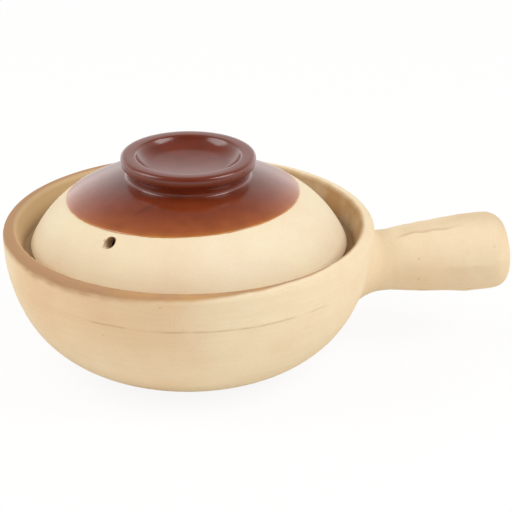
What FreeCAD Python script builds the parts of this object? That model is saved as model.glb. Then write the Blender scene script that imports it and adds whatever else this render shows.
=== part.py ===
import FreeCAD, Part
import math
import os
import Sketcher
from FreeCAD import Placement, Rotation, Vector
from types import SimpleNamespace

# Chinese herbal medicine pot: a thrown stoneware bowl with a rim band and a hollow side handle, and a
# loose domed lid with a dished ring knob. Origin: the middle of the foot, on the table. The handle
# points along +X, and the lid lifts along +Z. Lengths are in millimetres, and angles in degrees.

# The driving dimensions. Heights are measured from the table, and radii from the pot's own axis.
DRIVING_SIZES = {
    # Bowl, outside: a wall arc that stands upright at the rim runs on into a tighter belly arc.
    "rim_radius": 100.0,
    "rim_height": 77.4,
    "lip_rounding": 4.3,
    "wall_arc": 89.8,
    "belly_arc": 62.0,
    "belly_turn": 24.7,
    # Bowl, inside: the same curves, one wall thickness further in.
    "wall_thickness": 8.2,
    "floor_thickness": 8.6,
    "ledge_root_height": 50.0,
    # The rim band is luted on at the crease that runs round the outside.
    "crease_height": 56.3,
    # Seat for the lid: a ledge inside the mouth, and the leaning wall above it.
    "seat_height": 62.9,
    "seat_radius": 88.6,
    "mouth_radius": 92.4,
    "ledge_radius": 80.0,
    "ledge_nose": 4.9,
    "ledge_rounding": 1.4,
    # Lid: crown, shoulder and skirt arcs. Each slope is the fall of the surface where an arc ends.
    "pad_radius": 34.0,
    "pad_height": 103.3,
    "crown_arc": 108.0,
    "shoulder_arc": 58.0,
    "skirt_arc": 24.0,
    "crown_top_slope": 13.0,
    "crown_end_slope": 26.5,
    "shoulder_end_slope": 64.0,
    "lid_thickness": 6.0,
    "lid_edge_rounding": 2.6,
    # Vent: one oblique hole through the shoulder of the lid.
    "vent_radius": 3.2,
    "vent_distance": 68.3,
    "vent_height": 88.1,
    "vent_azimuth": 226.3,
    "vent_rise": 21.0,
    "vent_reach": 14.0,
    # Knob: a dished ring. Its outline is a chain of arcs from the lid up, over the lip and in.
    "knob_fillet": 1.9,
    "knob_fillet_turn": 75.0,
    "knob_cove": 6.5,
    "knob_cove_turn": 54.0,
    "lip_heel": 1.2,
    "lip_heel_turn": 40.0,
    "lip_face": 14.0,
    "lip_face_turn": 12.0,
    "lip_shoulder": 1.5,
    "lip_shoulder_turn": 85.0,
    "lip_top": 30.0,
    "lip_top_turn": 10.0,
    "dish_edge": 1.2,
    "dish_edge_turn": 50.0,
    "dish_wall": 12.0,
    "dish_wall_turn": 48.0,
    # Glaze: the brown coat over the lid's crown ends on a plane that leans a little.
    "coat": 0.4,
    "lining_coat": 0.45,
    "lid_glaze_height": 92.4,
    "lid_glaze_lean": 2.0,
    "lid_glaze_high_side": -39.9,
    "lid_glaze_start": 84.0,
    "trim_radius": 120.0,
    # Handle: a hollow horn, swelling towards its open end, on an axis that rises a little.
    "handle_rise": 2.6,
    "neck_distance": 109.0,
    "neck_height": 48.3,
    "neck_radius": 17.0,
    "swell_distance": 130.0,
    "swell_radius": 19.6,
    "grip_distance": 150.0,
    "grip_radius": 21.2,
    "end_distance": 175.6,
    "end_radius": 20.6,
    "end_rounding": 11.0,
    "end_sweep": 125.0,
    "collar_distance": 99.0,
    "collar_radius": 18.5,
    "collar_drop": 0.8,
    "root_distance": 84.0,
    "root_radius": 22.8,
    "root_drop": 2.8,
    "bore_radius": 8.5,
    "bore_depth": 52.0,
    "bore_mouth_rounding": 1.0,
}

LEFT = 1
RIGHT = -1
SHEET_NAME = "Sizes"
ORIGIN = (-1, 1)
FLAT_AXIS = -1
UPRIGHT_AXIS = -2
CENTRE_POINT = 3
QUARTER_TURN = 90.0
HALF_TURN = 180.0
FULL_TURN = 360.0
CUTS = ("PartDesign::Groove", "PartDesign::Pocket")
CLOSE = 0.01


class Size:
    """A measure off the sheet, or worked out from several: its value now, and its expression."""

    def __init__(self, value, text):
        self.value = value
        self.text = text

    def __add__(self, other):
        other = as_size(other)
        return Size(self.value + other.value, f"({self.text} + {other.text})")

    def __sub__(self, other):
        other = as_size(other)
        return Size(self.value - other.value, f"({self.text} - {other.text})")

    def __mul__(self, other):
        other = as_size(other)
        return Size(self.value * other.value, f"({self.text} * {other.text})")

    def __truediv__(self, other):
        other = as_size(other)
        return Size(self.value / other.value, f"({self.text} / {other.text})")


def as_size(number):
    """A plain number taken as a Size; a Size as it is."""
    if isinstance(number, Size):
        return number
    return Size(float(number), str(number))


def sine(angle):
    return Size(math.sin(math.radians(angle.value)), f"sin({angle.text})")


def cosine(angle):
    return Size(math.cos(math.radians(angle.value)), f"cos({angle.text})")


def tangent(angle):
    return Size(math.tan(math.radians(angle.value)), f"tan({angle.text})")


def other_leg(slant, leg):
    """The third side of a right triangle, from its slanted side and one leg."""
    value = math.sqrt(slant.value ** 2 - leg.value ** 2)
    return Size(value, f"sqrt({slant.text} ^ 2 - {leg.text} ^ 2)")


def write_sheet(document):
    """Puts the driving dimensions on the sheet and returns a Size for each, by name."""
    sheet = document.addObject("Spreadsheet::Sheet", SHEET_NAME)
    sizes = {}
    for row, (name, value) in enumerate(DRIVING_SIZES.items(), start=1):
        sheet.set(f"A{row}", name)
        sheet.set(f"B{row}", str(value))
        sheet.setAlias(f"B{row}", name)
        sizes[name] = Size(value, f"{SHEET_NAME}.{name}")
    document.recompute()
    return SimpleNamespace(**sizes)


def new_body(document, label):
    body = document.addObject("PartDesign::Body", label)
    body.Label = label
    return body


def new_sketch(body, name, plane="XZ_Plane"):
    """A sketch on one of the body's own origin planes. On XZ, x is a radius and y is a height."""
    sketch = body.newObject("Sketcher::SketchObject", name)
    planes = {feature.Role: feature for feature in body.Origin.OriginFeatures}
    sketch.AttachmentSupport = (planes[plane], "")
    sketch.MapMode = "FlatFace"
    return sketch


def bind(sketch, kind, ends, size):
    """Adds one dimension to a sketch and ties it to the sheet."""
    index = sketch.addConstraint(Sketcher.Constraint(kind, *ends, size.value))
    sketch.setExpression(f"Constraints[{index}]", size.text)


def place_point(sketch, point, x, y):
    """Fixes a point of a sketch: a plain 0 puts it on the axis, a Size at that distance."""
    for distance, kind, axis in ((x, "DistanceX", UPRIGHT_AXIS), (y, "DistanceY", FLAT_AXIS)):
        if isinstance(distance, Size):
            bind(sketch, kind, ORIGIN + point, distance)
        else:
            sketch.addConstraint(Sketcher.Constraint("PointOnObject", *point, axis))


def arc_between(start, end, radius, side):
    """The short arc from start to end that bends to that side, always stored turning left."""
    chord = end - start
    across = Vector(-chord.y, chord.x, 0).normalize() * side
    rise = math.sqrt(radius ** 2 - (chord.Length / 2) ** 2)
    centre = start + chord / 2 + across * rise
    first, last = (start, end) if side == LEFT else (end, start)
    angles = [math.atan2(point.y - centre.y, point.x - centre.x) for point in (first, last)]
    circle = Part.Circle(centre, Vector(0, 0, 1), radius)
    return Part.ArcOfCircle(circle, *angles)


def draw_outline(sketch, corners):
    """Draws a closed outline. A corner is (x, y), or (x, y, radius, side) where an arc leads to it."""
    points = [Vector(as_size(corner[0]).value, as_size(corner[1]).value, 0) for corner in corners]
    spans = []
    for number, corner in enumerate(corners[1:] + corners[:1], start=1):
        start, end = points[number - 1], points[number % len(points)]
        if len(corner) == 2:
            index = sketch.addGeometry(Part.LineSegment(start, end), False)
            spans.append((index, 1, 2))
            continue
        radius, side = corner[2:]
        index = sketch.addGeometry(arc_between(start, end, radius.value, side), False)
        spans.append((index, 1, 2) if side == LEFT else (index, 2, 1))
        bind(sketch, "Radius", (index,), radius)
    for number, (index, first, last) in enumerate(spans):
        before, _, before_last = spans[number - 1]
        sketch.addConstraint(Sketcher.Constraint("Coincident", before, before_last, index, first))
        place_point(sketch, (index, first), *corners[number][:2])


def turn(body, sketch, name, axis="V_Axis", cut=False):
    """Turns a sketch all the way round, as on the wheel: a solid, or a cut out of one."""
    kind = "PartDesign::Groove" if cut else "PartDesign::Revolution"
    feature = body.newObject(kind, name)
    feature.Profile = sketch
    feature.ReferenceAxis = (sketch, [axis])
    feature.Angle = FULL_TURN
    sketch.Visibility = False
    return feature


def turned_form(body, name, corners, cut=False):
    sketch = new_sketch(body, f"{name}_outline")
    draw_outline(sketch, corners)
    return turn(body, sketch, name, cut=cut)


def round_rings(body, base, name, radius, rings):
    """Rounds the circular edges of a turned solid that lie at the given radii and heights."""
    body.Document.recompute()
    edges = []
    for number, edge in enumerate(base.Shape.Edges, start=1):
        if not isinstance(edge.Curve, Part.Circle):
            continue
        for ring_radius, ring_height in rings:
            beside = abs(edge.Curve.Radius - ring_radius.value) < CLOSE
            level = abs(edge.Curve.Center.z - ring_height.value) < CLOSE
            if beside and level:
                edges.append(f"Edge{number}")
    if len(edges) != len(rings):
        raise ValueError(f"{name}: {len(edges)} edges found for {len(rings)} rings")
    fillet = body.newObject("PartDesign::Fillet", name)
    fillet.Base = (base, edges)
    fillet.setExpression("Radius", radius.text)


def pot_curve(size, inset, low, high):
    """The pot's own curve, an inset inside its outer face: up from a low height to a high one."""
    wall_x = size.rim_radius - size.wall_arc
    wall_y = size.rim_height - size.lip_rounding
    step = size.wall_arc - size.belly_arc
    belly_x = wall_x + step * cosine(size.belly_turn)
    belly_y = wall_y - step * sine(size.belly_turn)
    wall = size.wall_arc - inset
    belly = size.belly_arc - inset
    return SimpleNamespace(
        low=(belly_x + other_leg(belly, belly_y - low), low),
        joint=(wall_x + wall * cosine(size.belly_turn), wall_y - wall * sine(size.belly_turn)),
        high=(wall_x + other_leg(wall, wall_y - high), high),
        belly=belly,
        wall=wall,
    )


def pot_region(size, inset, low, high):
    """Everything inside the pot's curve between two heights, as an outline to turn."""
    curve = pot_curve(size, inset, as_size(low), high)
    return [
        (0, low),
        (curve.low[0], low),
        (*curve.joint, curve.belly, LEFT),
        (*curve.high, curve.wall, LEFT),
        (0, high),
    ]


def make_bowl(document, size):
    """The thrown bowl: flat foot, belly and even wall, up to the bevel that takes the rim band."""
    body = new_body(document, "pot_bowl")
    outside = pot_curve(size, as_size(0), as_size(0), size.crease_height)
    inside = pot_curve(size, size.wall_thickness, size.floor_thickness, size.ledge_root_height)
    turned_form(body, "bowl_clay", [
        (0, 0),
        (outside.low[0], 0),
        (*outside.joint, outside.belly, LEFT),
        (*outside.high, outside.wall, LEFT),
        inside.high,
        (*inside.joint, inside.wall, RIGHT),
        (*inside.low, inside.belly, RIGHT),
        (0, size.floor_thickness),
    ])


def make_rim(document, size):
    """The rim band, luted on at the crease: rounded lip, leaning mouth, and the ledge for the lid."""
    body = new_body(document, "pot_rim")
    bowl_edge = pot_curve(size, as_size(0), as_size(0), size.crease_height)
    lip_base = pot_curve(size, as_size(0), as_size(0), size.rim_height - size.lip_rounding)
    inside = pot_curve(size, size.wall_thickness, size.floor_thickness, size.ledge_root_height)
    nose_height = size.seat_height - size.ledge_nose
    mouth_rounding = size.rim_radius - size.lip_rounding - size.mouth_radius
    clay = turned_form(body, "rim_clay", [
        inside.high,
        bowl_edge.high,
        (*lip_base.high, lip_base.wall, LEFT),
        (size.rim_radius - size.lip_rounding, size.rim_height, size.lip_rounding, LEFT),
        (size.mouth_radius, size.rim_height - mouth_rounding, mouth_rounding, LEFT),
        (size.seat_radius, size.seat_height),
        (size.ledge_radius, size.seat_height),
        (size.ledge_radius, nose_height),
    ])
    rings = [(size.ledge_radius, size.seat_height), (size.ledge_radius, nose_height)]
    round_rings(body, clay, "ledge_nose_rounding", size.ledge_rounding, rings)


def make_bowl_lining(document, size):
    """The glaze poured round the inside of the bowl: a thin coat on the floor and the wall."""
    body = new_body(document, "bowl_glaze_lining")
    high = size.ledge_root_height
    face = size.wall_thickness
    turned_form(body, "lining_outer_face", pot_region(size, face, size.floor_thickness, high))
    top_of_floor = size.floor_thickness + size.lining_coat
    hollow = pot_region(size, face + size.lining_coat, top_of_floor, high)
    turned_form(body, "lining_hollow", hollow, cut=True)


def handle_section(body, size, name, distance, radius, drop):
    """One round section of the handle, square to its rising axis."""
    sketch = new_sketch(body, name, "YZ_Plane")
    height = size.neck_height + (distance - size.neck_distance) * tangent(size.handle_rise) - drop
    sketch.AttachmentOffset = Placement(Vector(), Rotation(Vector(-1, 0, 0), size.handle_rise.value))
    sketch.setExpression("AttachmentOffset.Base.y", height.text)
    sketch.setExpression("AttachmentOffset.Base.z", distance.text)
    sketch.setExpression("AttachmentOffset.Rotation.Angle", size.handle_rise.text)
    circle = sketch.addGeometry(Part.Circle(Vector(), Vector(0, 0, 1), radius.value), False)
    sketch.addConstraint(Sketcher.Constraint("Coincident", circle, CENTRE_POINT, *ORIGIN))
    bind(sketch, "Radius", (circle,), radius)
    return sketch


def axis_sketch(body, size, name):
    """An upright sketch whose own x runs out along the handle's rising axis, from the neck."""
    sketch = new_sketch(body, name)
    sketch.AttachmentOffset = Placement(Vector(), Rotation(Vector(0, 0, 1), size.handle_rise.value))
    sketch.setExpression("AttachmentOffset.Base.x", size.neck_distance.text)
    sketch.setExpression("AttachmentOffset.Base.y", size.neck_height.text)
    sketch.setExpression("AttachmentOffset.Rotation.Angle", size.handle_rise.text)
    return sketch


def make_handle(document, size):
    """The hollow handle, formed over a round stick and luted on under the rim."""
    body = new_body(document, "pot_handle")
    level = as_size(0)
    sections = [
        handle_section(body, size, "root", size.root_distance, size.root_radius, size.root_drop),
        handle_section(body, size, "collar", size.collar_distance, size.collar_radius, size.collar_drop),
        handle_section(body, size, "neck", size.neck_distance, size.neck_radius, level),
        handle_section(body, size, "swell", size.swell_distance, size.swell_radius, level),
        handle_section(body, size, "grip", size.grip_distance, size.grip_radius, level),
    ]
    horn = body.newObject("PartDesign::AdditiveLoft", "horn")
    horn.Profile = sections[0]
    horn.Sections = sections[1:]
    end_face = (size.end_distance - size.neck_distance) / cosine(size.handle_rise)
    grip = (size.grip_distance - size.neck_distance) / cosine(size.handle_rise)
    knuckle = end_face - size.end_rounding
    end = axis_sketch(body, size, "end_outline")
    draw_outline(end, [
        (grip, 0),
        (end_face, 0),
        (end_face, size.end_radius - size.end_rounding),
        (knuckle, size.end_radius, size.end_rounding, LEFT),
        (grip, size.grip_radius, size.end_sweep, LEFT),
    ])
    turn(body, end, "rounded_end", axis="H_Axis")

    # The bore runs in from the open end along the handle's axis and stops in a round tip.
    bore = axis_sketch(body, size, "bore_outline")
    tip = end_face - size.bore_depth
    flare = size.bore_radius + size.bore_mouth_rounding
    draw_outline(bore, [
        (tip, 0, size.bore_radius, LEFT),
        (end_face, 0),
        (end_face, flare),
        (end_face - size.bore_mouth_rounding, size.bore_radius, size.bore_mouth_rounding, RIGHT),
        (tip + size.bore_radius, size.bore_radius),
    ])
    turn(body, bore, "bore", axis="H_Axis", cut=True)

    # The root is cut to the outer face of the bowl, so that the two meet face to face.
    seat = pot_region(size, as_size(0), 0, size.rim_height - size.lip_rounding)
    turned_form(body, "bowl_side_cut", seat, cut=True)


def nested_centre(centre, outer, inner, slope):
    """The centre of the next arc, so that it runs on from the last without a corner."""
    step = outer - inner
    return (centre[0] + step * sine(slope), centre[1] + step * cosine(slope))


def lid_curve(size, grow):
    """The lid's outer curve, grown outwards: three arcs, each running on from the last."""
    crown = size.crown_arc + grow
    shoulder = size.shoulder_arc + grow
    skirt = size.skirt_arc + grow
    top, bend, hip = size.crown_top_slope, size.crown_end_slope, size.shoulder_end_slope
    crown_centre = (
        size.pad_radius - size.crown_arc * sine(top),
        size.pad_height - size.crown_arc * cosine(top),
    )
    shoulder_centre = nested_centre(crown_centre, size.crown_arc, size.shoulder_arc, bend)
    skirt_centre = nested_centre(shoulder_centre, size.shoulder_arc, size.skirt_arc, hip)

    def at(centre, radius, slope):
        return (centre[0] + radius * sine(slope), centre[1] + radius * cosine(slope))

    return SimpleNamespace(
        pad=at(crown_centre, crown, top),
        bend=at(crown_centre, crown, bend),
        hip=at(shoulder_centre, shoulder, hip),
        shoulder_centre=shoulder_centre,
        skirt_centre=skirt_centre,
        crown=crown,
        shoulder=shoulder,
        skirt=skirt,
    )


def skirt_end(curve, height):
    """Where the skirt arc reaches a height."""
    x, y = curve.skirt_centre
    return (x + other_leg(curve.skirt, y - height), height)


def lid_hollow_region(size, inset):
    """The space under the lid, up to a face that lies an inset inside the outer curve."""
    curve = lid_curve(size, as_size(0) - inset)
    return [
        (0, size.seat_height),
        skirt_end(curve, size.seat_height),
        (*curve.hip, curve.skirt, LEFT),
        (*curve.bend, curve.shoulder, LEFT),
        (*curve.pad, curve.crown, LEFT),
        (0, curve.pad[1]),
    ]


def make_dome(document, size):
    """The thrown lid: crown, shoulder and skirt over an even wall, a flat rim, and the vent."""
    body = new_body(document, "lid_dome")
    curve = lid_curve(size, as_size(0))
    edge = skirt_end(curve, size.seat_height)
    clay = turned_form(body, "dome_clay", [
        (0, size.seat_height),
        edge,
        (*curve.hip, curve.skirt, LEFT),
        (*curve.bend, curve.shoulder, LEFT),
        (*curve.pad, curve.crown, LEFT),
        (0, size.pad_height),
    ])
    round_rings(body, clay, "rim_edge_rounding", size.lid_edge_rounding, [edge])
    turned_form(body, "dome_hollow", lid_hollow_region(size, size.lid_thickness), cut=True)
    pierce_vent(body, size)


def pierce_vent(body, size):
    """The vent, pierced with a round stick on an axis that rises only a little outwards."""
    vent = new_sketch(body, "vent_outline")
    vent.AttachmentOffset = Placement(Vector(), Rotation(Vector(0, 1, 0), size.vent_azimuth.value))
    vent.setExpression("AttachmentOffset.Rotation.Angle", size.vent_azimuth.text)
    along = (size.vent_reach * cosine(size.vent_rise), size.vent_reach * sine(size.vent_rise))
    across = (size.vent_radius * sine(size.vent_rise), size.vent_radius * cosine(size.vent_rise))
    inner = (size.vent_distance - along[0], size.vent_height - along[1])
    outer = (size.vent_distance + along[0], size.vent_height + along[1])
    draw_outline(vent, [
        inner,
        outer,
        (outer[0] - across[0], outer[1] + across[1]),
        (inner[0] - across[0], inner[1] + across[1]),
    ])
    turn(body, vent, "vent", axis="Edge1", cut=True)


def make_lid_lining(document, size):
    """The glaze under the lid: a thin coat on the hollow side, from the flat rim to the crown."""
    body = new_body(document, "lid_glaze_lining")
    turned_form(body, "underside_face", lid_hollow_region(size, size.lid_thickness))
    hollow = lid_hollow_region(size, size.lid_thickness + size.lining_coat)
    turned_form(body, "underside_hollow", hollow, cut=True)
    pierce_vent(body, size)


def knob_curve(size, grow):
    """The knob's outline, grown outwards: a chain of arcs from the lid, over the lip, to the axis."""
    bends = [
        (size.knob_fillet, size.knob_fillet_turn, RIGHT),
        (size.knob_cove, size.knob_cove_turn, RIGHT),
        (size.lip_heel, size.lip_heel_turn, LEFT),
        (size.lip_face, size.lip_face_turn, LEFT),
        (size.lip_shoulder, size.lip_shoulder_turn, LEFT),
        (size.lip_top, size.lip_top_turn, LEFT),
        (size.dish_edge, size.dish_edge_turn, LEFT),
        (size.dish_wall, size.dish_wall_turn, RIGHT),
    ]
    heading = as_size(HALF_TURN) - size.crown_top_slope
    x, y = size.pad_radius, size.pad_height
    corners = [(x + grow * sine(heading), y - grow * cosine(heading))]
    for radius, sweep, side in bends:
        centre_x = x - radius * side * sine(heading)
        centre_y = y + radius * side * cosine(heading)
        heading = heading + sweep * side
        x = centre_x + radius * side * sine(heading)
        y = centre_y - radius * side * cosine(heading)
        corner = (x + grow * sine(heading), y - grow * cosine(heading))
        corners.append((*corner, radius + grow * side, side))
    dish_slope = heading - HALF_TURN
    floor = x / sine(dish_slope)
    corners.append((0, y + floor * cosine(dish_slope) - floor + grow, floor - grow, RIGHT))
    return corners


def make_knob(document, size):
    """The knob: a ring foot turned upside down, with a cove under its lip and a dish inside."""
    body = new_body(document, "lid_knob")
    turned_form(body, "knob_clay", [(0, size.pad_height)] + knob_curve(size, as_size(0)))


def lid_glaze_region(size, grow):
    """The lid and the knob together, grown outwards, from below the glaze edge to the axis."""
    curve = lid_curve(size, grow)
    x, y = curve.shoulder_centre
    start = (x + other_leg(curve.shoulder, size.lid_glaze_start - y), size.lid_glaze_start)
    return [
        (0, size.lid_glaze_start),
        start,
        (*curve.bend, curve.shoulder, LEFT),
        (*curve.pad, curve.crown, LEFT),
    ] + knob_curve(size, grow)[1:]


def make_lid_glaze(document, size):
    """The brown glaze over the knob and the crown: the lid was dipped, leaning, up to a line."""
    body = new_body(document, "lid_glaze")
    turned_form(body, "dipped_form", lid_glaze_region(size, size.coat))
    turned_form(body, "clay_face", lid_glaze_region(size, as_size(0)), cut=True)
    line = new_sketch(body, "dip_line", "XY_Plane")
    hinge = math.radians(size.lid_glaze_high_side.value - QUARTER_TURN)
    across = Vector(math.cos(hinge), math.sin(hinge), 0)
    line.AttachmentOffset = Placement(Vector(), Rotation(across, size.lid_glaze_lean.value))
    line.setExpression("AttachmentOffset.Base.z", size.lid_glaze_height.text)
    line.setExpression("AttachmentOffset.Rotation.Angle", size.lid_glaze_lean.text)
    circle = line.addGeometry(Part.Circle(Vector(), Vector(0, 0, 1), size.trim_radius.value), False)
    line.addConstraint(Sketcher.Constraint("Coincident", circle, CENTRE_POINT, *ORIGIN))
    bind(line, "Radius", (circle,), size.trim_radius)
    trim = body.newObject("PartDesign::Pocket", "below_dip_line")
    trim.Profile = line
    trim.Type = "ThroughAll"
    line.Visibility = False


def check_document(document):
    """Stops if a feature failed, a sketch is loose, a cut removed nothing, or a solid is broken."""
    for item in document.Objects:
        if "Invalid" in item.State or "Error" in item.State:
            raise ValueError(f"{item.Name}: {item.State}")
        if item.TypeId == "Sketcher::SketchObject" and item.solve() != 0:
            raise ValueError(f"{item.Name}: its constraints don't solve")
        if item.TypeId in CUTS:
            removed = item.BaseFeature.Shape.Volume - item.Shape.Volume
            if removed < CLOSE:
                raise ValueError(f"{item.Name}: the cut removes nothing")
    for body in bodies(document):
        shape = body.Shape
        if shape.isNull() or not shape.isValid() or len(shape.Solids) != 1:
            raise ValueError(f"{body.Label}: not one valid solid")


def bodies(document):
    return [item for item in document.Objects if item.TypeId == "PartDesign::Body"]


def write_parts(document):
    os.makedirs("parts", exist_ok=True)
    for body in bodies(document):
        body.Shape.exportStep(f"parts/{body.Label}.step")
        box = body.Shape.optimalBoundingBox(False)
        print(f"{body.Label}: {body.Shape.Volume:.0f} mm3, {box.XLength:.1f} x {box.YLength:.1f} x"
              f" {box.ZLength:.1f} mm, from z {box.ZMin:.2f}")


def main():
    document = FreeCAD.newDocument("medicine_pot")
    size = write_sheet(document)
    make_bowl(document, size)
    make_rim(document, size)
    make_bowl_lining(document, size)
    make_handle(document, size)
    make_dome(document, size)
    make_lid_lining(document, size)
    make_knob(document, size)
    make_lid_glaze(document, size)
    document.recompute()
    check_document(document)
    write_parts(document)


main()
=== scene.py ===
# %% [markdown]
# A Chinese herbal medicine pot in sandy stoneware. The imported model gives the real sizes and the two
# loose bodies, the pot and the lid. This lesson gives each piece the form and the surface that the
# potter's hands, the glaze bucket and the kiln left on it.

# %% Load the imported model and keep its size
import math

import bpy
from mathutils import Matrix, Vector, noise


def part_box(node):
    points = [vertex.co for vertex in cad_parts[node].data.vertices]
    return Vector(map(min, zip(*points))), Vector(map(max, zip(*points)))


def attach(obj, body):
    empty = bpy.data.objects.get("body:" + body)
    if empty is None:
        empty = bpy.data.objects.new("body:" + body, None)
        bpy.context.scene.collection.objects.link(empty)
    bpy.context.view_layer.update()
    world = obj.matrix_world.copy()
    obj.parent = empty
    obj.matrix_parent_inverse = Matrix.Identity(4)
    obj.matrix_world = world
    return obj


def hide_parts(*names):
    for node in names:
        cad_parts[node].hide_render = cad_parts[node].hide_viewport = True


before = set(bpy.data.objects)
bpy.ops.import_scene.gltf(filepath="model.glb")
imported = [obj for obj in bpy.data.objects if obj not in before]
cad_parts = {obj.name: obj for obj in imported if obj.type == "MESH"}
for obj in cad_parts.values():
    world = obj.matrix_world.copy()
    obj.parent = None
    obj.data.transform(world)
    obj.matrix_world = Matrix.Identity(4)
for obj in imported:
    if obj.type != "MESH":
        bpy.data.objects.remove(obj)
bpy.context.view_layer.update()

MM = 0.001
RIM_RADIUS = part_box("pot_rim")[1].x / MM
RIM_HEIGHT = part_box("pot_rim")[1].z / MM
HANDLE_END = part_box("pot_handle")[1].x / MM
print(f"rim {RIM_RADIUS:.1f} mm out, {RIM_HEIGHT:.1f} mm up; handle ends at {HANDLE_END:.1f} mm")

# %% [markdown]
# The camera comes first, because everything is compared with the photo through it. Its distance,
# height and aim were found by fitting the rim, the foot, the lid and the knob to their outlines in
# the photo. The long lens keeps the rim nearly a true ellipse.

# %% Camera
CAMERA_DISTANCE = 1600.0
CAMERA_ELEVATION = math.radians(23.177)
CAMERA_TURN = math.radians(8.0)
CAMERA_RIGHT = 36.12
CAMERA_UP = 52.3
FOCAL_PIXELS = 2918.6
PHOTO_PIXELS = 512
SENSOR = 36.0

side = Vector((math.cos(CAMERA_TURN), -math.sin(CAMERA_TURN), 0.0))
back = Vector((
    -math.sin(CAMERA_TURN) * math.cos(CAMERA_ELEVATION),
    -math.cos(CAMERA_TURN) * math.cos(CAMERA_ELEVATION),
    math.sin(CAMERA_ELEVATION),
))
above = back.cross(side)
place = (back * CAMERA_DISTANCE + side * CAMERA_RIGHT + above * CAMERA_UP) * MM
bpy.ops.object.camera_add(location=place, rotation=(-back).to_track_quat("-Z", "Y").to_euler())
camera = bpy.context.object
camera.data.sensor_width = SENSOR
camera.data.lens = FOCAL_PIXELS * SENSOR / PHOTO_PIXELS
bpy.context.scene.camera = camera
bpy.context.scene.view_settings.view_transform = "Standard"
print(f"camera: {camera.data.lens:.0f} mm lens, {CAMERA_DISTANCE:.0f} mm away")

# %% [markdown]
# A material is a handful of nodes. One small function adds a node with its settings and its links,
# and colours are written as on a paint card and turned to the linear light that the renderer uses.

# %% Helpers for nodes and colours
def linear(code):
    """An sRGB hex colour, such as #e8cfa6, as linear red, green, blue and alpha."""
    parts = [int(code[place:place + 2], 16) / 255 for place in (1, 3, 5)]
    return [part / 12.92 if part <= 0.04045 else ((part + 0.055) / 1.055) ** 2.4 for part in parts] + [1.0]


def add_node(tree, kind, inputs=None, stops=None, **settings):
    """Adds a node. An input is a value or another node's output; stops are a colour ramp's."""
    node = tree.nodes.new(f"ShaderNode{kind}")
    for name, value in settings.items():
        setattr(node, name, value)
    for name, value in (inputs or {}).items():
        if isinstance(value, bpy.types.NodeSocket):
            tree.links.new(value, node.inputs[name])
        else:
            node.inputs[name].default_value = value
    for number, (position, colour) in enumerate(stops or []):
        points = node.color_ramp.elements
        point = points[number] if number < 2 else points.new(position)
        point.position = position
        point.color = linear(colour)
    return node


def new_material(name):
    """An empty material and its node tree."""
    material = bpy.data.materials.new(name)
    material.use_nodes = True
    material.node_tree.nodes.clear()
    return material, material.node_tree


# %% [markdown]
# The clay is a sandy stoneware, fired without glaze on the outside. Its surface was thrown, wiped with
# a wet sponge and fired, so it is quite matt, with a fine sandy grain, faint streaks that follow the
# wheel, warmer and paler clouds, and a few pits where a grain fell out. The fire flashed one side a
# warmer colour. Grain of 0.3 mm would be too fine to see at this size, so it is drawn at 1.1 mm.

# %% Clay material
# Sizes are in millimetres. A pit is darkest out to its core and gone at its edge.
GRAIN = 1.1
CLOUDS = 34.0
STREAK = 2.4
STREAK_LENGTHENING = 0.05
GRAIN_SHARE = 0.22
PIT_SPACING = 13.0
PIT_CORE = 0.325
PIT_EDGE = 0.715
PIT_CHANCE = 0.38
PIT_SHADE = 0.6
LID_CLAY = ("#ebd7b8", "#edddbf", "#efe1c0")
POT_CLAY = ("#ead3b0", "#ecd9b8", "#eeddbc")
HANDLE_CLAY = ("#e6cda9", "#e8d3b1", "#ead7b5")
FLASH_SIDE = 230.0
FLASH_BOTTOM = 28.0
FLASH_TOP = 54.0
FLASH_LOW_SHARE = 0.2


def level_direction(azimuth):
    """The level direction at an azimuth in degrees: 0 is along the handle, 270 about the camera's side."""
    return Vector((math.cos(math.radians(azimuth)), math.sin(math.radians(azimuth)), 0.0))


def toward(tree, place, azimuth, low, high):
    """How far round the axis a point lies towards an azimuth, as 0 to 1 between two cosines."""
    flat = add_node(tree, "VectorMath", {0: place, 1: (1.0, 1.0, 0.0)}, operation="MULTIPLY")
    unit = add_node(tree, "VectorMath", {0: flat.outputs["Vector"]}, operation="NORMALIZE")
    cosine = add_node(tree, "VectorMath", {
        0: unit.outputs["Vector"], 1: level_direction(azimuth),
    }, operation="DOT_PRODUCT")
    return add_node(tree, "MapRange", {
        "Value": cosine.outputs["Value"], "From Min": low, "From Max": high,
    }, interpolation_type="SMOOTHSTEP").outputs["Result"]


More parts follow.
